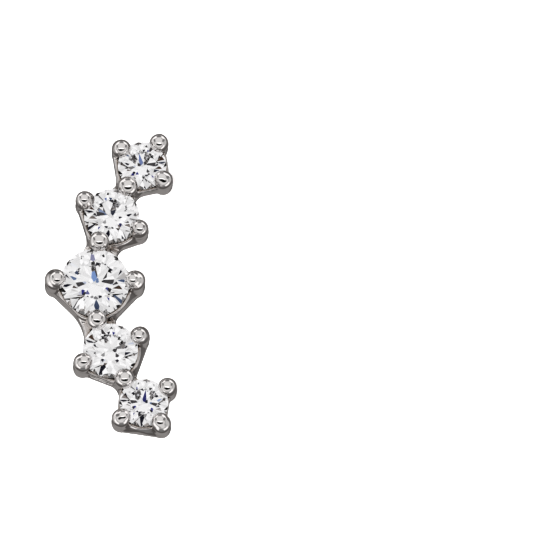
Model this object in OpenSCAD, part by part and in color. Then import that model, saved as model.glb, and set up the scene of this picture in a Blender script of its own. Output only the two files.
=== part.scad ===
// Bar stud earring: five round stones in a curved row of four-prong baskets that share
// prongs with their neighbours, cast in one piece, with a plain ear post soldered behind
// the centre stone. It is drawn face up, x across the row, y up the row and z out of the
// face, with its flat back at z = 0. Then it is laid on its side, as it rests on a table.

/* [Stones] */
// Diameter of the centre stone
centre_stone_d = 3; // [2.8:0.05:3.2]
// Diameter of the stone on either side of it
mid_stone_d = 2.42; // [2.3:0.02:2.5]
// Diameter of the stone at either end
end_stone_d = 2.12; // [2:0.02:2.2]
// Width of the flat table, as a share of the diameter
table_share = 0.57; // [0.5:0.01:0.62]
// Slope of the eight kite facets of the crown
crown_angle = 34; // [30:1:36]
// Slope of the eight main facets of the pavilion
pavilion_angle = 41; // [39:0.5:42]
// Height of the girdle, as a share of the diameter
girdle_share = 0.03; // [0.025:0.005:0.04]
// Space between a stone and the metal that holds it
seat_gap = 0.03; // [0.02:0.005:0.04]

/* [Row] */
// Direction from the centre stone to the upper middle one
upper_mid_angle = 76.4; // [72:0.1:80]
// Space between the edges of those two
upper_mid_gap = 0.4; // [0.3:0.01:0.45]
// Direction from the upper middle stone to the upper end one
upper_end_angle = 59.8; // [55:0.1:65]
// Space between the edges of those two
upper_end_gap = 0.37; // [0.3:0.01:0.45]
// Direction from the centre stone to the lower middle one
lower_mid_angle = -77.2; // [-82:0.1:-72]
// Space between the edges of those two
lower_mid_gap = 0.32; // [0.3:0.01:0.45]
// Direction from the lower middle stone to the lower end one
lower_end_angle = -57.4; // [-63:0.1:-52]
// Space between the edges of those two
lower_end_gap = 0.43; // [0.3:0.01:0.45]
// Height of the centre stone's girdle above the back
centre_girdle_z = 1.5; // [1.45:0.01:1.65]
// Height of the girdles of the stones beside it
mid_girdle_z = 1.2; // [1.18:0.01:1.35]
// Height of the girdles of the end stones
end_girdle_z = 1.06; // [1.04:0.01:1.2]

/* [Prongs] */
// Diameter of a prong that holds one stone
prong_d = 0.82; // [0.8:0.01:0.86]
// Diameter of the centre stone's own two prongs
centre_prong_d = 0.9; // [0.84:0.01:0.94]
// Diameter of a prong that holds two stones
shared_prong_d = 0.86; // [0.8:0.01:0.9]
// Height of a dome's centre above the girdle, as a share of the stone's diameter
prong_rise = 0.16; // [0.14:0.01:0.2]
// How far a prong's round shoulder lies below its tip, for each stone from the upper end
shoulder_drop = [0.12, 0.16, 0.24, 0.14, 0.12]; // [0.06:0.01:0.24]
// Directions of the upper end stone's own prongs
upper_end_prongs = [-36.5, 53, 142]; // [-50:0.5:150]
// Their distances from its middle, as shares of its radius
upper_end_reach = [1.07, 1.13, 1.08]; // [1.06:0.01:1.18]
// Diameters of their domed tips
upper_end_tips = [0.66, 0.76, 0.74]; // [0.6:0.02:0.8]
// How far each tip is bent over towards the stone
upper_end_bends = [0.08, 0, 0]; // [-0.06:0.01:0.12]
// Directions of the upper middle stone's own prongs
upper_mid_prongs = [-27, 151]; // [-40:0.5:160]
// Their distances from its middle
upper_mid_reach = [1.1, 1.09]; // [1.06:0.01:1.18]
// Diameters of their tips
upper_mid_tips = [0.7, 0.7]; // [0.6:0.02:0.8]
// How far they are bent over
upper_mid_bends = [-0.02, -0.05]; // [-0.06:0.01:0.12]
// Directions of the centre stone's own prongs
centre_prongs = [1.5, 177]; // [-5:0.5:185]
// Their distances from its middle
centre_reach = [1.15, 1.14]; // [1.1:0.01:1.18]
// Diameters of their tips
centre_tips = [0.66, 0.74]; // [0.64:0.02:0.84]
// How far they are bent over
centre_bends = [0.09, 0.07]; // [-0.06:0.01:0.12]
// Directions of the lower middle stone's own prongs
lower_mid_prongs = [25.5, 205.5]; // [15:0.5:215]
// Their distances from its middle
lower_mid_reach = [1.18, 1.09]; // [1.06:0.01:1.18]
// Diameters of their tips
lower_mid_tips = [0.76, 0.68]; // [0.6:0.02:0.8]
// How far they are bent over
lower_mid_bends = [0.06, 0.08]; // [-0.06:0.01:0.12]
// Directions of the lower end stone's own prongs
lower_end_prongs = [32.5, 216, 308.5]; // [25:0.5:315]
// Their distances from its middle
lower_end_reach = [1.14, 1.14, 1.16]; // [1.06:0.01:1.18]
// Diameters of their tips
lower_end_tips = [0.76, 0.68, 0.76]; // [0.6:0.02:0.8]
// How far they are bent over
lower_end_bends = [0, 0.08, 0.1]; // [-0.06:0.01:0.12]
// How far each shared prong stands to the left of the line between its stones
shared_shift = [0.04, 0.24, 0.29, 0.17]; // [0:0.01:0.35]
// How far each stands from the middle of their gap, away from the centre stone
shared_out = [0.06, 0.08, 0, -0.02]; // [-0.05:0.01:0.1]

/* [Basket walls] */
// Distance from the line between two prongs out to a wall that the stone hides
wall_in = 0.12; // [0.08:0.01:0.16]
// The same for the two slim walls beside the lower end stone
wall_slim = 0.17; // [0.14:0.01:0.22]
// The same for a wall just outside the stone
wall_near = 0.28; // [0.22:0.01:0.31]
// The same for the two walls at the left of the centre and upper middle stones
wall_left = 0.36; // [0.28:0.01:0.38]
// The same for a wall nearly flush with its prongs
wall_flush = 0.39; // [0.34:0.01:0.39]
// Depth of a wall's top edge below the girdle
wall_drop = 0.12; // [0.08:0.01:0.2]
// Width of the rim round a stone, before the metal falls away from it
rim_w = 0.05; // [0.03:0.01:0.12]
// Slope at which it falls away, except at the walls with a flat top
shoulder_angle = 66; // [60:1:75]
// Radius of the open back under a stone, as a share of the stone's radius
bore_share = 0.7; // [0.6:0.01:0.74]
// Metal beyond each shared prong on its left, where two baskets run together. It is
// widest under the centre stone, where it makes a small shelf.
web_left = [0.12, 0.12, 0.21, 0]; // [0:0.01:0.25]
// The same on its right
web_right = [0.1, 0.44, 0.4, 0.12]; // [0:0.01:0.5]
// Smallest radius of the hollow corner between two baskets
web_radius = 0.2; // [0.15:0.01:0.3]
// Height of the slot in the lower middle basket's bottom wall
slot_h = 0.28; // [0.2:0.01:0.35]
// Height of that slot above the back
slot_z = 0.4; // [0.35:0.01:0.45]

/* [Ear post] */
// Diameter of the post
post_d = 0.8; // [0.7:0.05:0.9]
// Length of the post behind the setting's back
post_length = 9.6; // [9:0.1:10.5]
// Place of the post from the centre stone's middle, across and up the row
post_at = [0.35, 0.8]; // [-1:0.05:1]
// Width of the bar that carries the post across the centre basket
bar_w = 0.84; // [0.7:0.01:0.9]
// Thickness of that bar
bar_t = 0.3; // [0.2:0.01:0.32]
// Diameter of the soldered foot of the post
foot_d = 1.24; // [1.1:0.02:1.4]
// Height of that foot
foot_h = 0.2; // [0.1:0.01:0.3]

/* [Hidden] */
$fn = 64;
metal_colour = [0.75, 0.74, 0.72];
stone_colour = [0.9, 0.94, 1];
// How far a cut runs on past the metal
CUT_PAST = 1;
// How far each end of the bar behind the post runs into its basket
BAR_HOLD = 0.1;
// How far inside each wall the hollow corner between two baskets starts, so its curve
// crosses the wall's face and doesn't just touch it
WEB_HOLD = 0.005;

// The stones are numbered from 0, the upper end, to 4, the lower end.
UPPER_END = 0;
UPPER_MID = 1;
CENTRE = 2;
LOWER_MID = 3;
LOWER_END = 4;
// The web that makes the small shelf under the centre stone
SHELF = 2;
STONE_R = [end_stone_d, mid_stone_d, centre_stone_d, mid_stone_d, end_stone_d] / 2;
GIRDLE_Z = [end_girdle_z, mid_girdle_z, centre_girdle_z, mid_girdle_z, end_girdle_z];

function unit(v) = v / norm(v);
function toward(a) = [cos(a), sin(a)];
// Middle of a stone that lies beyond another, in a direction and with a space between them
function beyond(from, r1, r2, a, gap) = from + (r1 + r2 + gap) * toward(a);
upper_mid_at = beyond([0, 0], STONE_R[CENTRE], STONE_R[UPPER_MID], upper_mid_angle, upper_mid_gap);
upper_end_at = beyond(upper_mid_at, STONE_R[UPPER_MID], STONE_R[UPPER_END], upper_end_angle,
    upper_end_gap);
lower_mid_at = beyond([0, 0], STONE_R[CENTRE], STONE_R[LOWER_MID], lower_mid_angle, lower_mid_gap);
lower_end_at = beyond(lower_mid_at, STONE_R[LOWER_MID], STONE_R[LOWER_END], lower_end_angle,
    lower_end_gap);
STONE_AT = [upper_end_at, upper_mid_at, [0, 0], lower_mid_at, lower_end_at];
// How far each stone is turned in its seat
STONE_TURN = [10, 32, 5, 20, 38];

// A stone's own prongs stand round it, and each shared prong in the gap between two stones,
// numbered from 0 at the top.
OWN_ANGLES = [upper_end_prongs, upper_mid_prongs, centre_prongs, lower_mid_prongs,
    lower_end_prongs];
OWN_D = [prong_d, prong_d, centre_prong_d, prong_d, prong_d];
TIP_D = [upper_end_tips, upper_mid_tips, centre_tips, lower_mid_tips, lower_end_tips];
TIP_BEND = [upper_end_bends, upper_mid_bends, centre_bends, lower_mid_bends,
    lower_end_bends];
REACH = [upper_end_reach, upper_mid_reach, centre_reach, lower_mid_reach, lower_end_reach];
OWN_AT = [for (i = [0:4]) [for (n = [0:len(OWN_ANGLES[i]) - 1])
    STONE_AT[i] + REACH[i][n] * STONE_R[i] * toward(OWN_ANGLES[i][n])]];
function left_of(u) = u.y > 0 ? [-u.y, u.x] : [u.y, -u.x];
function shared_at(inner, outer, shift, out) =
    let (u = unit(STONE_AT[outer] - STONE_AT[inner]),
        gap = norm(STONE_AT[outer] - STONE_AT[inner]) - STONE_R[inner] - STONE_R[outer])
    STONE_AT[inner] + (STONE_R[inner] + gap / 2 + out) * u + shift * left_of(u);
SHARED_AT = [
    shared_at(UPPER_MID, UPPER_END, shared_shift[0], shared_out[0]),
    shared_at(CENTRE, UPPER_MID, shared_shift[1], shared_out[1]),
    shared_at(CENTRE, LOWER_MID, shared_shift[2], shared_out[2]),
    shared_at(LOWER_MID, LOWER_END, shared_shift[3], shared_out[3])];
function tip_z(i) = GIRDLE_Z[i] + prong_rise * 2 * STONE_R[i];
function tip_at(i, n) = OWN_AT[i][n] - TIP_BEND[i][n] * toward(OWN_ANGLES[i][n]);

// The four prongs round each stone, counter-clockwise from the one at the right. Wall k of
// a basket runs from prong k to prong k + 1. A shared prong is always number 3 of the stone
// above it and number 1 of the stone below it.
CORNERS = [
    [OWN_AT[0][0], OWN_AT[0][1], OWN_AT[0][2], SHARED_AT[0]],
    [OWN_AT[1][0], SHARED_AT[0], OWN_AT[1][1], SHARED_AT[1]],
    [OWN_AT[2][0], SHARED_AT[1], OWN_AT[2][1], SHARED_AT[2]],
    [OWN_AT[3][0], SHARED_AT[2], OWN_AT[3][1], SHARED_AT[3]],
    [OWN_AT[4][0], SHARED_AT[3], OWN_AT[4][1], OWN_AT[4][2]]];
// How far each wall stands out, in the same order
WALL_OUT = [
    [wall_near, wall_in, wall_flush, wall_near],
    [wall_in, wall_in, wall_left, wall_flush],
    [wall_in, wall_in, wall_left, wall_flush],
    [wall_in, wall_in, wall_near, wall_flush],
    [wall_in, wall_slim, wall_flush, wall_slim]];

// The walls whose tops stay flat out to their faces, as bright rails
WALL_FLAT = [
    [false, false, true, true],
    [false, false, true, false],
    [false, false, false, false],
    [false, false, true, false],
    [false, false, false, false]];

// Levels of a round brilliant, from its girdle's middle
crown_share = (1 - table_share) * tan(crown_angle) / 2;
STAR_REACH = 0.5;
LOWER_REACH = 0.77;
function girdle_h(r) = 2 * r * girdle_share;
function table_r(r) = r * table_share;
function table_z(r) = girdle_h(r) / 2 + 2 * r * crown_share;
// Corners between two kites and a star, and between two main facets below
function star_r(r) = (table_r(r) + STAR_REACH * (r - table_r(r))) / cos(22.5);
function star_z(r) = table_z(r) - STAR_REACH * (r - table_r(r)) * tan(crown_angle);
function main_r(r) = r * (1 - LOWER_REACH) / cos(22.5);
function main_z(r) = -girdle_h(r) / 2 - LOWER_REACH * r * tan(pavilion_angle);
function culet_z(r) = -girdle_h(r) / 2 - r * tan(pavilion_angle);

// The lay of the part. It rests on the feet of two prongs of its hollow side and on the
// tip of the post, so its face looks a little upwards.
foot_upper = OWN_AT[UPPER_END][0];
foot_lower = OWN_AT[LOWER_END][0];
level_turn = atan2((foot_upper - foot_lower).x, (foot_upper - foot_lower).y);
function turned(p) = [p.x * cos(level_turn) - p.y * sin(level_turn),
    p.x * sin(level_turn) + p.y * cos(level_turn)];
post_tip_z = post_d / 2 - post_length;
side_reach = turned(foot_upper).x + prong_d / 2 - turned(post_at).x;
lean = acos(post_d / 2 / norm([side_reach, post_tip_z])) - atan2(-post_tip_z, side_reach);
floor_drop = (turned(foot_upper).x + prong_d / 2) * cos(lean);
row_top = turned(OWN_AT[UPPER_END][1]).y + prong_d / 2;
row_bottom = turned(OWN_AT[LOWER_END][2]).y - prong_d / 2;
front_y = turned(tip_at(CENTRE, 0)).x * sin(lean) + tip_z(CENTRE) * cos(lean) +
    centre_tips[0] / 2;
back_y = turned(post_at).x * sin(lean) + post_tip_z * cos(lean) - post_d / 2;

// Carries a child from the way it is drawn to the way it rests, with the row along x, the
// floor at z = 0 and the face towards -y.
module laid() {
    translate([-(row_top + row_bottom) / 2, (front_y + back_y) / 2, floor_drop])
        rotate([-lean, 0, 0])
            rotate([0, 0, -90])
                rotate([0, 90, 0])
                    rotate([0, 0, level_turn])
                        children();
}

module at(p, z = 0) {
    translate([p.x, p.y, z]) children();
}

// A round wire with a full dome on it
module prong(p, d, z) {
    at(p) cylinder(d = d, h = z);
    at(p, z) sphere(d = d);
}

// A stone's own prongs have a narrower tip on their round shoulder, bent over towards it.
module prongs() {
    for (i = [0:4])
        for (n = [0:len(OWN_AT[i]) - 1]) {
            prong(OWN_AT[i][n], OWN_D[i], tip_z(i) - shoulder_drop[i]);
            at(tip_at(i, n), tip_z(i)) sphere(d = TIP_D[i][n]);
        }
    for (j = [0:3])
        prong(SHARED_AT[j], shared_prong_d, (tip_z(j) + tip_z(j + 1)) / 2);
}

// One straight wall of a basket, filled back to the stone's middle
module wall_outline(i, k) {
    a = CORNERS[i][k];
    b = CORNERS[i][(k + 1) % 4];
    along = unit(b - a);
    out = WALL_OUT[i][k] * [along.y, -along.x];
    polygon([STONE_AT[i], a, a + out, b + out, b]);
}

// Everything inside the slope that falls away from a stone's rim
module shoulder(i) {
    rim_r = STONE_R[i] + seat_gap + rim_w;
    rim_z = GIRDLE_Z[i] - wall_drop;
    at(STONE_AT[i], -CUT_PAST)
        cylinder(r1 = rim_r + (rim_z + CUT_PAST) / tan(shoulder_angle), r2 = rim_r,
            h = rim_z + CUT_PAST);
}

module basket(i) {
    for (k = [0:3])
        if (WALL_FLAT[i][k])
            linear_extrude(height = GIRDLE_Z[i] - wall_drop) wall_outline(i, k);
        else
            intersection() {
                linear_extrude(height = GIRDLE_Z[i] - wall_drop) wall_outline(i, k);
                shoulder(i);
            }
}

// The hollow corner where two baskets meet outside a shared prong p. The walls leave it
// towards q1 and q2 and stand out by o1 and o2, and the metal reaches the given distance
// from the prong's middle.
module web_outline(p, q1, q2, o1, o2, reach) {
    u1 = unit(q1 - p);
    u2 = unit(q2 - p);
    m1 = unit(u2 - (u2 * u1) * u1);
    m2 = unit(u1 - (u1 * u2) * u2);
    half = sqrt((1 - u1 * u2) / 2);
    r = max(web_radius, (reach - (o1 + o2) / 2 / half) / (1 / half - 1));
    c1 = o1 + r - WEB_HOLD;
    c2 = o2 + r - WEB_HOLD;
    c = p + [c1 * m2.y - c2 * m1.y, c2 * m1.x - c1 * m2.x] / (m1.x * m2.y - m1.y * m2.x);
    difference() {
        polygon([p, c - r * m1, c, c - r * m2]);
        translate(c) circle(r = r);
    }
}

module left_web(j) {
    linear_extrude(height = min(GIRDLE_Z[j], GIRDLE_Z[j + 1]) - wall_drop)
        web_outline(SHARED_AT[j], CORNERS[j][2], CORNERS[j + 1][2], WALL_OUT[j][2],
            WALL_OUT[j + 1][1], shared_prong_d / 2 + web_left[j]);
}

module right_web(j) {
    linear_extrude(height = min(GIRDLE_Z[j], GIRDLE_Z[j + 1]) - wall_drop)
        web_outline(SHARED_AT[j], CORNERS[j][0], CORNERS[j + 1][0], WALL_OUT[j][3],
            WALL_OUT[j + 1][0], shared_prong_d / 2 + web_right[j]);
}

// The webs fall away from both stones, and only the shelf under the centre stone is flat.
module webs(j) {
    for (i = [j, j + 1])
        intersection() {
            union() {
                if (j != SHELF)
                    left_web(j);
                right_web(j);
            }
            shoulder(i);
        }
    if (j == SHELF)
        left_web(j);
}

// The room that a stone takes with its clearance, open above it and through the back
module stone_room(i) {
    r = STONE_R[i];
    z = GIRDLE_Z[i];
    bore = bore_share * r;
    seat = (r - bore) * (main_z(r) + girdle_h(r) / 2) / (r - main_r(r));
    at(STONE_AT[i], z)
        rotate_extrude()
            polygon([
                [0, -z - CUT_PAST],
                [bore, -z - CUT_PAST],
                [bore, seat - girdle_h(r) / 2 - seat_gap],
                [r + seat_gap, -girdle_h(r) / 2 - seat_gap],
                [r + seat_gap, girdle_h(r) / 2 + seat_gap],
                [star_r(r) + seat_gap, star_z(r) + seat_gap],
                [table_r(r) + seat_gap, table_z(r) + seat_gap],
                [table_r(r) + seat_gap, table_z(r) + CUT_PAST],
                [0, table_z(r) + CUT_PAST]]);
}

// A slot through the bottom wall of the lower middle basket, between its two rails
module rail_slot() {
    a = CORNERS[LOWER_MID][2];
    b = CORNERS[LOWER_MID][3];
    length = norm(b - a) - (prong_d + shared_prong_d) / 2;
    mid = a + unit(b - a) * (prong_d + length) / 2;
    at(mid, slot_z)
        rotate([0, 0, atan2((b - a).y, (b - a).x)])
            translate([-length / 2, -2 * wall_flush, 0])
                cube([length, 3 * wall_flush, slot_h]);
}

// A flat bar across the open back of the centre basket, with the post soldered on it
module ear_post() {
    bar_y = post_at.y - bar_w / 2;
    bar_half = sqrt(pow(bore_share * STONE_R[CENTRE], 2) - bar_y * bar_y) + BAR_HOLD;
    translate([-bar_half, bar_y, 0]) cube([2 * bar_half, bar_w, bar_t]);
    at(post_at, -foot_h) cylinder(d1 = post_d, d2 = foot_d, h = foot_h);
    at(post_at, post_tip_z) cylinder(d = post_d, h = bar_t / 2 - post_tip_z);
    at(post_at, post_tip_z) sphere(d = post_d);
}

module setting() {
    color(metal_colour)
        laid() {
            difference() {
                union() {
                    prongs();
                    for (i = [0:4])
                        basket(i);
                    for (j = [0:3])
                        webs(j);
                }
                for (i = [0:4])
                    stone_room(i);
                rail_slot();
            }
            ear_post();
        }
}

function ring(n, r, z, a = 0) = [for (k = [0:n - 1]) [r * cos(a + k * 360 / n),
    r * sin(a + k * 360 / n), z]];
// Height of the plane through three points, over the point (x, y)
function plane_z(p, q, s, x, y) =
    let (m = cross(q - p, s - p))
    p.z - (m.x * (x - p.x) + m.y * (y - p.y)) / m.z;
// The 32 girdle corners on one side. Every second one dips to lie in its facet's plane.
function girdle_ring(r, z, tip) =
    let (flat = ring(16, r, z),
        a = 360 / 32,
        dip = plane_z(tip, flat[0], flat[1], r * cos(a), r * sin(a)))
    [for (j = [0:31]) [r * cos(j * a), r * sin(j * a), j % 2 == 0 ? z : dip]];

// A round brilliant: table, 8 stars, 8 kites, 16 upper girdle facets, the girdle, 16 lower
// girdle facets and 8 main facets that meet in a point
module brilliant(r) {
    table = ring(8, table_r(r), table_z(r));
    stars = ring(8, star_r(r), star_z(r), 22.5);
    mains = ring(8, main_r(r), main_z(r), 22.5);
    upper = girdle_ring(r, girdle_h(r) / 2, stars[0]);
    lower = girdle_ring(r, -girdle_h(r) / 2, mains[0]);
    t = 0;
    s = 8;
    u = 16;
    l = 48;
    m = 80;
    culet = 88;
    polyhedron(
        points = concat(table, stars, upper, lower, mains, [[0, 0, culet_z(r)]]),
        faces = concat(
            [[for (k = [7:-1:0]) t + k]],
            [for (k = [0:7]) [t + k, t + (k + 1) % 8, s + k]],
            [for (k = [0:7]) [t + k, s + k, u + 4 * k, s + (k + 7) % 8]],
            [for (k = [0:7]) [s + k, u + 4 * k + 2, u + 4 * k + 1, u + 4 * k]],
            [for (k = [0:7]) [s + k, u + (4 * k + 4) % 32, u + 4 * k + 3, u + 4 * k + 2]],
            [for (j = [0:31]) [u + j, u + (j + 1) % 32, l + (j + 1) % 32, l + j]],
            [for (k = [0:7]) [m + k, l + 4 * k, l + 4 * k + 1, l + 4 * k + 2]],
            [for (k = [0:7]) [m + k, l + 4 * k + 2, l + 4 * k + 3, l + (4 * k + 4) % 32]],
            [for (k = [0:7]) [culet, m + (k + 7) % 8, l + 4 * k, m + k]]));
}

module stone(i) {
    color(stone_colour)
        laid()
            at(STONE_AT[i], GIRDLE_Z[i])
                rotate([0, 0, STONE_TURN[i]])
                    brilliant(STONE_R[i]);
}

setting();
stone(UPPER_END);  // stone_upper_end
stone(UPPER_MID);  // stone_upper_mid
stone(CENTRE);  // stone_centre
stone(LOWER_MID);  // stone_lower_mid
stone(LOWER_END);  // stone_lower_end
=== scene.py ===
import math

import bmesh
import bpy
from mathutils import Matrix, Vector, noise


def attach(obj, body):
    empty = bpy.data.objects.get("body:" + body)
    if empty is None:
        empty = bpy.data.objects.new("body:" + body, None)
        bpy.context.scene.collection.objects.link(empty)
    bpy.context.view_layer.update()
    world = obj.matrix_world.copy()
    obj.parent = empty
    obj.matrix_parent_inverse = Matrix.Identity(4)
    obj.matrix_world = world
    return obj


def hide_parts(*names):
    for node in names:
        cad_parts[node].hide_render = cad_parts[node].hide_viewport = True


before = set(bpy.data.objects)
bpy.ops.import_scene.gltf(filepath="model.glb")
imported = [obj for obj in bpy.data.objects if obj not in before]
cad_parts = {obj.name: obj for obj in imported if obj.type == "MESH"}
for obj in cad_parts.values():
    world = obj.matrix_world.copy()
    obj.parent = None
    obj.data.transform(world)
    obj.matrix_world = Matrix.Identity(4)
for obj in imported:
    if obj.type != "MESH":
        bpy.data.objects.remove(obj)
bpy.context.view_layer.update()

# The cast setting. The real one is a white metal casting: five four-prong baskets that
# share prongs, run together into one curved row, with an ear post soldered on behind. It
# is polished bright, so its inner corners are softly filled and its edges rounded off.
MM = 0.001
QUARTER = math.radians(90)
# A face that looks up has its row turned level and is stood on edge, then leant back until
# the outer prongs and the post's end rest. BACK_AT is where its flat back's middle lies.
LEVEL_TURN = math.radians(-1.0831)
LEAN_BACK = math.radians(-16.2768)
BACK_AT = Vector((0.01888, -3.22003, 3.32899)) * MM
LAID = Matrix.Rotation(LEAN_BACK, 4, "X")
LAID = LAID @ Matrix.Rotation(-QUARTER, 4, "Z") @ Matrix.Rotation(QUARTER, 4, "Y")
FACE_TO_ROW = Matrix.Translation(BACK_AT) @ LAID @ Matrix.Rotation(LEVEL_TURN, 4, "Z")
FACE_OUT = (FACE_TO_ROW.to_3x3() @ Vector((0, 0, 1))).normalized()
# The casting's copy is worked in millimetres. Points closer than WELD become one, FACET is
# the size of the new facets, and each round of melting evens a point out half way.
WELD = 0.0005
FACET = 0.05
MELT_ROUNDS = 4
MELT_SHARE = 0.5
SWELL = 0.012
DENT = 0.02
DENTS_A_MM = 2.0
# The post is drawn wire and not cast. So the swell and the dents only start at the flat
# back and are full FADE before it, and the finer ripples end FADE behind it.
PLATE_BACK = FACE_TO_ROW.to_translation().dot(FACE_OUT) / MM
FADE = 0.4


def cast_copy(node, name):
    """A merged copy of a CAD node, remade in even facets and softened as a casting is."""
    mesh = node.data.copy()
    mesh.name = name
    shape = bmesh.new()
    shape.from_mesh(mesh)
    bmesh.ops.scale(shape, vec=(1 / MM, 1 / MM, 1 / MM), verts=shape.verts)
    bmesh.ops.remove_doubles(shape, verts=shape.verts, dist=WELD)
    shape.to_mesh(mesh)
    shape.free()
    mesh.materials.clear()
    casting = bpy.data.objects.new(name, mesh)
    bpy.context.scene.collection.objects.link(casting)
    even = casting.modifiers.new("even", "REMESH")
    even.mode = "VOXEL"
    even.voxel_size = FACET
    even.use_smooth_shade = True
    bpy.context.view_layer.update()
    graph = bpy.context.evaluated_depsgraph_get()
    remade = bpy.data.meshes.new_from_object(casting.evaluated_get(graph))
    casting.modifiers.clear()
    shape = bmesh.new()
    shape.from_mesh(remade)
    for _ in range(MELT_ROUNDS):
        bmesh.ops.smooth_vert(
            shape, verts=shape.verts, factor=MELT_SHARE,
            use_axis_x=True, use_axis_y=True, use_axis_z=True,
        )
    shape.normal_update()
    for vert in shape.verts:
        share = min(1, max(0, (vert.co.dot(FACE_OUT) - PLATE_BACK) / FADE))
        vert.co += share * (SWELL + DENT * noise.noise(DENTS_A_MM * vert.co)) * vert.normal
    bmesh.ops.scale(shape, vec=(MM, MM, MM), verts=shape.verts)
    for face in shape.faces:
        face.smooth = True
    shape.to_mesh(remade)
    shape.free()
    casting.data = remade
    return casting


def ranged(tree, value, low, high, to_low=0, to_high=1, easing="LINEAR"):
    """A value carried from one range to another, and held at its ends."""
    carried = tree.nodes.new("ShaderNodeMapRange")
    carried.interpolation_type = easing
    carried.inputs["From Min"].default_value = low
    carried.inputs["From Max"].default_value = high
    carried.inputs["To Min"].default_value = to_low
    carried.inputs["To Max"].default_value = to_high
    tree.links.new(value, carried.inputs["Value"])
    return carried.outputs["Result"]


def reach(tree, place, axis):
    """How far a place or a direction reaches along an axis."""
    dot = tree.nodes.new("ShaderNodeVectorMath")
    dot.operation = "DOT_PRODUCT"
    dot.inputs[1].default_value = axis
    tree.links.new(place, dot.inputs[0])
    return dot.outputs["Value"]


def reckoned(tree, operation, *terms):
    """One step of arithmetic, on sockets and numbers."""
    step = tree.nodes.new("ShaderNodeMath")
    step.operation = operation
    for socket, term in zip(step.inputs, terms):
        if isinstance(term, (int, float)):
            socket.default_value = term
        else:
            tree.links.new(term, socket)
    return step.outputs["Value"]


def blended(tree, share, under, over):
    """One colour laid over another by a share. Each colour is a socket or four numbers."""
    mix = tree.nodes.new("ShaderNodeMix")
    mix.data_type = "RGBA"
    tree.links.new(share, mix.inputs["Factor"])
    for socket, colour in ((mix.inputs["A"], under), (mix.inputs["B"], over)):
        if isinstance(colour, tuple):
            socket.default_value = colour
        else:
            tree.links.new(colour, socket)
    return mix.outputs["Result"]


BRIGHT = (0.88, 0.865, 0.86, 1)
# Next come a painted brown shade for the creases, and how far from a crease it reaches.
CREASE_SHADE = (0.22, 0.15, 0.1, 1)
CREASE_SHADE_REACH = 0.3 * MM
BRIGHT_CUT = (0.75, 0.75, 0.77, 1)
BUFFED = 0.04
HAZY = 0.09
HAZE_A_METRE = 1400
# The ripples lie in bands round the prongs, since they are five times finer from back to
# face than across.
RIPPLES_A_METRE = 900
RIPPLE_SQUEEZE = 5
RIPPLE_HEIGHT = 0.02 * MM
RIPPLE_STRENGTH = 0.3


def polished_silver():
    """Tumbled and buffed silver, with a painted brown shade in its creases, and bright again deep in
    the seats.
    """
    metal = bpy.data.materials.new("polished_silver")
    metal.use_nodes = True
    tree = metal.node_tree
    shader = tree.nodes["Principled BSDF"]
    shader.inputs["Metallic"].default_value = 1
    place = tree.nodes.new("ShaderNodeTexCoord").outputs["Object"]

    haze = tree.nodes.new("ShaderNodeTexNoise")
    haze.inputs["Scale"].default_value = HAZE_A_METRE
    haze.inputs["Detail"].default_value = 3
    tree.links.new(place, haze.inputs["Vector"])
    # The noise keeps mostly between 0.35 and 0.65.
    rough = ranged(tree, haze.outputs["Fac"], 0.35, 0.65, BUFFED, HAZY)
    tree.links.new(rough, shader.inputs["Roughness"])

    hollow = tree.nodes.new("ShaderNodeAmbientOcclusion")
    hollow.samples = 8
    hollow.inputs["Distance"].default_value = CREASE_SHADE_REACH
    openness = hollow.outputs["AO"]
    # This is 1 in the open, about 0.4 in a crease, and near 0 under the stones. It paints a brown
    # shade into the creases, which gives way to the lighter seat tone deep under the stones.
    tone = blended(tree, ranged(tree, openness, 0.4, 0.92), CREASE_SHADE, BRIGHT)
    tone = blended(tree, ranged(tree, openness, 0.05, 0.35), BRIGHT_CUT, tone)
    tree.links.new(tone, shader.inputs["Base Color"])

    height = reach(tree, place, FACE_OUT)
    ripple = tree.nodes.new("ShaderNodeTexNoise")
    ripple.noise_dimensions = "4D"
    ripple.inputs["Scale"].default_value = RIPPLES_A_METRE
    ripple.inputs["Detail"].default_value = 3
    tree.links.new(place, ripple.inputs["Vector"])
    tree.links.new(reckoned(tree, "MULTIPLY", height, RIPPLE_SQUEEZE), ripple.inputs["W"])
    cast = ranged(tree, height, (PLATE_BACK - FADE) * MM, PLATE_BACK * MM)
    relief = reckoned(tree, "MULTIPLY", cast, ripple.outputs["Fac"])
    bump = tree.nodes.new("ShaderNodeBump")
    bump.inputs["Strength"].default_value = RIPPLE_STRENGTH
    bump.inputs["Distance"].default_value = RIPPLE_HEIGHT
    tree.links.new(relief, bump.inputs["Height"])
    tree.links.new(bump.outputs["Normal"], shader.inputs["Normal"])
    return metal


setting = cast_copy(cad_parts["setting"], "cast_setting")
setting.data.materials.append(polished_silver())
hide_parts("setting")
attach(setting, "root")

# The five stones. Each is a clear round brilliant, cut in flat polished facets with a
# fine frosted girdle, and held under the tips of its four prongs. Its surface is given a
# weaker sheen than real stuff has, which keeps the dark needles inside it crisp.
STONES = ("stone_upper_end", "stone_upper_mid", "stone_centre", "stone_lower_mid", "stone_lower_end")
CLEAR = (0.985, 0.99, 1, 1)
BENDING = 2.15
SURFACE_SHEEN = (0.2, 0.2, 0.2, 1)
FROSTED = 0.35


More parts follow.
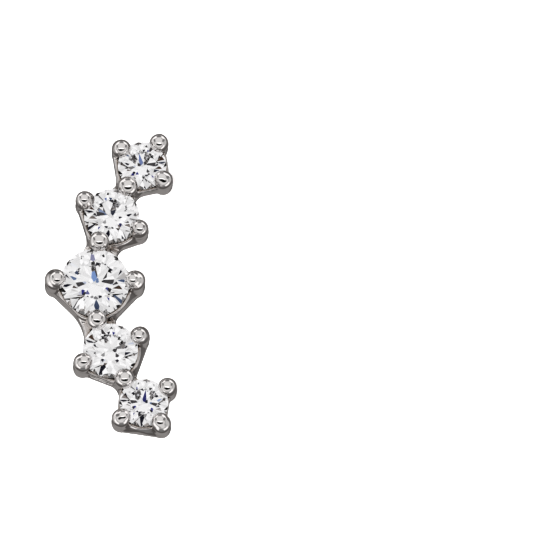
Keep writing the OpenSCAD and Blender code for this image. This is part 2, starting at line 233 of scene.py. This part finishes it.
def clear_brilliant():
    """Clear stuff, polished but for its girdle."""
    stone = bpy.data.materials.new("clear_brilliant")
    stone.use_nodes = True
    tree = stone.node_tree
    shader = tree.nodes["Principled BSDF"]
    shader.inputs["Base Color"].default_value = CLEAR
    shader.inputs["Transmission Weight"].default_value = 1
    shader.inputs["IOR"].default_value = BENDING
    shader.inputs["Specular Tint"].default_value = SURFACE_SHEEN
    facet = tree.nodes.new("ShaderNodeNewGeometry").outputs["True Normal"]
    facing = reckoned(tree, "ABSOLUTE", reach(tree, facet, FACE_OUT))
    # The girdle alone stands square to the table, where this is near 0.
    tree.links.new(ranged(tree, facing, 0.1, 0.3, FROSTED, 0), shader.inputs["Roughness"])
    return stone


brilliant = clear_brilliant()
for node in STONES:
    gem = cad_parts[node]
    gem.data.materials.clear()
    gem.data.materials.append(brilliant)

# The camera, set as the photograph's: a long lens 12.3 degrees below the face's own
# direction, with the row upright in the picture. It stands straight before the earring and
# is turned a little, so that the earring lies left of the middle and just below it.
LENS = 1000
PHOTO_WIDTH = 23.13 * MM
CENTRE_GIRDLE_HEIGHT = 1.5 * MM
FACE_TURN = math.radians(-0.5)
FACE_TILT = math.radians(12.3)
LEFT_OF_MIDDLE = 7.447 * MM
BELOW_MIDDLE = 0.707 * MM
camera_data = bpy.data.cameras.new("photo_camera")
camera_data.lens = LENS
distance = PHOTO_WIDTH * LENS / camera_data.sensor_width
camera_data.clip_start = distance / 100
camera_data.clip_end = distance * 100
camera = bpy.data.objects.new("photo_camera", camera_data)
bpy.context.scene.collection.objects.link(camera)
before = FACE_TO_ROW @ Matrix.Translation((0, 0, CENTRE_GIRDLE_HEIGHT))
before = before @ Matrix.Rotation(FACE_TURN, 4, "Y")
before = before @ Matrix.Rotation(FACE_TILT, 4, "X")
before = before @ Matrix.Translation((0, 0, distance))
before = before @ Matrix.Rotation(-math.atan(LEFT_OF_MIDDLE / distance), 4, "Y")
camera.matrix_world = before @ Matrix.Rotation(math.atan(BELOW_MIDDLE / distance), 4, "X")
bpy.context.scene.camera = camera

# The floor: a plain sheet of white paper that the earring lies on. It glows a little, as if
# lit through from below, for the lens alone. Neither the silver nor the stones mirror it.
SHEET_REACH = 1.5
PAPER_WHITE = (0.95, 0.95, 0.95, 1)
SHEET_GLOW = 0.75
floor_mesh = bpy.data.meshes.new("floor")
sheet = bmesh.new()
bmesh.ops.create_grid(sheet, x_segments=1, y_segments=1, size=SHEET_REACH)
sheet.to_mesh(floor_mesh)
sheet.free()
floor = bpy.data.objects.new("floor", floor_mesh)
bpy.context.scene.collection.objects.link(floor)
paper = bpy.data.materials.new("white_sheet")
paper.use_nodes = True
paper_tree = paper.node_tree
paper_shader = paper_tree.nodes["Principled BSDF"]
paper_shader.inputs["Base Color"].default_value = PAPER_WHITE
paper_shader.inputs["Roughness"].default_value = 0.9
paper_shader.inputs["Specular IOR Level"].default_value = 0
paper_shader.inputs["Emission Color"].default_value = (1, 1, 1, 1)
seen = paper_tree.nodes.new("ShaderNodeLightPath").outputs["Is Camera Ray"]
glow = reckoned(paper_tree, "MULTIPLY", seen, SHEET_GLOW)
paper_tree.links.new(glow, paper_shader.inputs["Emission Strength"])
floor_mesh.materials.append(paper)
floor.visible_glossy = False
floor.visible_transmission = False

# The light: a round white tent, open to a dim room behind the earring, with a dark slot
# that the lens looks through. The silver and the insides of the stones are shown two
# different tents, as in a photograph put together from two lightings.
right, up, to_lens = (camera.matrix_world.to_3x3().col[k].normalized() for k in range(3))
world = bpy.data.worlds.new("light_tent")
bpy.context.scene.world = world
world.use_nodes = True
tent = world.node_tree
sky = tent.nodes["Background"]
toward = tent.nodes.new("ShaderNodeTexCoord").outputs["Generated"]
rightward = reach(tent, toward, right)
upward = reach(tent, toward, up)
lensward = reach(tent, toward, to_lens)


def white(level):
    """A level of the tent's slightly warm white."""
    return (level, 0.99 * level, 0.985 * level, 1)


def angle_from(axis):
    """Degrees between a direction and an axis."""
    turn = reckoned(tent, "ARCCOSINE", reach(tent, toward, axis))
    return reckoned(tent, "MULTIPLY", turn, 180 / math.pi)


def soft_step(value, start, end):
    """Nothing at the start and all at the end, with soft corners."""
    return ranged(tent, value, start, end, easing="SMOOTHSTEP")


def both(share, other):
    """What two shares have in common."""
    return reckoned(tent, "MULTIPLY", share, other)


def patch(x, y, half_x, half_y, soft):
    """A soft-edged oval in the tent's front half, as the lens sees it, in sines of angles."""
    dx = reckoned(tent, "DIVIDE", reckoned(tent, "SUBTRACT", rightward, x), half_x)
    dy = reckoned(tent, "DIVIDE", reckoned(tent, "SUBTRACT", upward, y), half_y)
    apart = reckoned(tent, "ADD", reckoned(tent, "POWER", dx, 2), reckoned(tent, "POWER", dy, 2))
    return both(soft_step(apart, 1 + soft, 1 - soft), soft_step(lensward, 0, 0.1))


# The dim room, which the insides of the stones aren't shown. It is nearly black straight
# behind, lighter round that, dark again by the tent, and darker on the right than the left.
ROOM_DARKEST = (0.05, 0.046, 0.043, 1)
ROOM_ROUND_THAT = (0.4, 0.385, 0.378, 1)
ROOM_BY_THE_TENT = (0.19, 0.18, 0.175, 1)
ROOM_RIGHT = (0.23, 0.221, 0.217, 1)
ROOM_LEFT = (0.5, 0.488, 0.48, 1)
off_lens = angle_from(to_lens)
silver = blended(tent, soft_step(off_lens, 179, 160), ROOM_DARKEST, ROOM_ROUND_THAT)
silver = blended(tent, soft_step(off_lens, 155, 142), silver, ROOM_BY_THE_TENT)
silver = blended(tent, soft_step(rightward, 0.42, 0.68), silver, ROOM_RIGHT)
silver = blended(tent, soft_step(rightward, -0.6, -0.76), silver, ROOM_LEFT)

# The tent as the silver sees it. Its bright walls reach a little more than half way round
# the earring, and are duller far out at the sides and dark at the very top and bottom. A
# seam parts them from the plainer front.
SEAM_SHARE = 0.8
walls = soft_step(angle_from((to_lens + 0.1 * up).normalized()), 113, 99)
silver = blended(tent, walls, silver, white(1.15))
far_right = soft_step(rightward, 0.84, 0.96)
silver = blended(tent, far_right, silver, white(0.7))
far_left = soft_step(rightward, -0.9, -0.98)
silver = blended(tent, far_left, silver, white(0.85))
for start, end in ((0.9, 0.96), (-0.9, -0.96)):
    top_or_bottom = soft_step(upward, start, end)
    silver = blended(tent, top_or_bottom, silver, white(0.3))
front = soft_step(off_lens, 76, 64)
silver = blended(tent, front, silver, white(0.83))
wide_seam = both(soft_step(off_lens, 60, 66), soft_step(off_lens, 76, 70))
silver = blended(tent, both(wide_seam, SEAM_SHARE), silver, white(0.45))
# In the front are a dark card on either side, a soft box above, a strip light, and the
# slot for the lens, cut off straight under the strip light.
for x in (-0.82, 0.82):
    card = patch(x, y=0.36, half_x=0.11, half_y=0.26, soft=0.6)
    silver = blended(tent, card, silver, white(0.3))
soft_box = patch(x=0, y=0.35, half_x=0.66, half_y=0.6, soft=0.2)
silver = blended(tent, soft_box, silver, white(0.86))
strip_light = patch(x=0, y=-0.1, half_x=0.55, half_y=0.14, soft=0.5)
silver = blended(tent, strip_light, silver, white(1.5))
wide_slot = patch(x=0, y=-0.2, half_x=0.68, half_y=0.4, soft=0.2)
wide_slot = both(wide_slot, soft_step(upward, -0.18, -0.24))
silver = blended(tent, wide_slot, silver, white(0.0))

# The tent as the insides of the stones see it. Low down is the slot with a brown edge, cut
# off straight as well. From there up the tent grows lighter, with a lamp on either side.
EDGE_BROWN = (0.1, 0.06, 0.04, 1)
SLOT_DARK = (0.05, 0.048, 0.058, 1)
slot_edge = patch(x=0, y=-0.2, half_x=0.36, half_y=0.13, soft=0.1)
inside = blended(tent, slot_edge, white(0.86), EDGE_BROWN)
slot = patch(x=0, y=-0.19, half_x=0.33, half_y=0.115, soft=0.1)
inside = blended(tent, slot, inside, SLOT_DARK)
above = blended(tent, soft_step(upward, -0.1, 0.5), white(0.8), white(0.96))
for x in (-0.36, 0.36):
    lamp = patch(x, y=0.12, half_x=0.18, half_y=0.3, soft=0.4)
    above = blended(tent, lamp, above, white(1.04))
inside = blended(tent, soft_step(upward, -0.24, -0.2), inside, above)
# The lens with its blue rim and a thin seam over it make the dark needles. Two blue spots
# stand for the colours that a real stone splits from white light.
RIM_BLUE = (0.3, 0.4, 0.62, 1)
LENS_DARK = (0.012, 0.012, 0.028, 1)
SEAM_DARK = (0.09, 0.085, 0.09, 1)
DEEP_BLUE = (0.04, 0.045, 0.28, 1)
PALE_BLUE = (0.3, 0.42, 0.68, 1)
lens_rim = patch(x=0, y=0.01, half_x=0.195, half_y=0.11, soft=0.04)
inside = blended(tent, lens_rim, inside, RIM_BLUE)
lens = patch(x=0, y=0.01, half_x=0.19, half_y=0.105, soft=0.08)
inside = blended(tent, lens, inside, LENS_DARK)
thin_seam = both(soft_step(off_lens, 12.5, 13), soft_step(off_lens, 15, 14.5))
thin_seam = both(thin_seam, soft_step(upward, 0.02, 0.06))
inside = blended(tent, thin_seam, inside, SEAM_DARK)
broad_spot = patch(x=0.04, y=0.118, half_x=0.05, half_y=0.04, soft=0.4)
inside = blended(tent, broad_spot, inside, DEEP_BLUE)
small_spot = patch(x=0.056, y=0.108, half_x=0.014, half_y=0.011, soft=0.5)
inside = blended(tent, small_spot, inside, PALE_BLUE)

through_stone = tent.nodes.new("ShaderNodeLightPath").outputs["Is Transmission Ray"]
tent.links.new(blended(tent, through_stone, silver, inside), sky.inputs["Color"])
sky.inputs["Strength"].default_value = 1.0
bpy.context.scene.view_settings.view_transform = "Standard"
bpy.context.scene.view_settings.gamma = 0.7
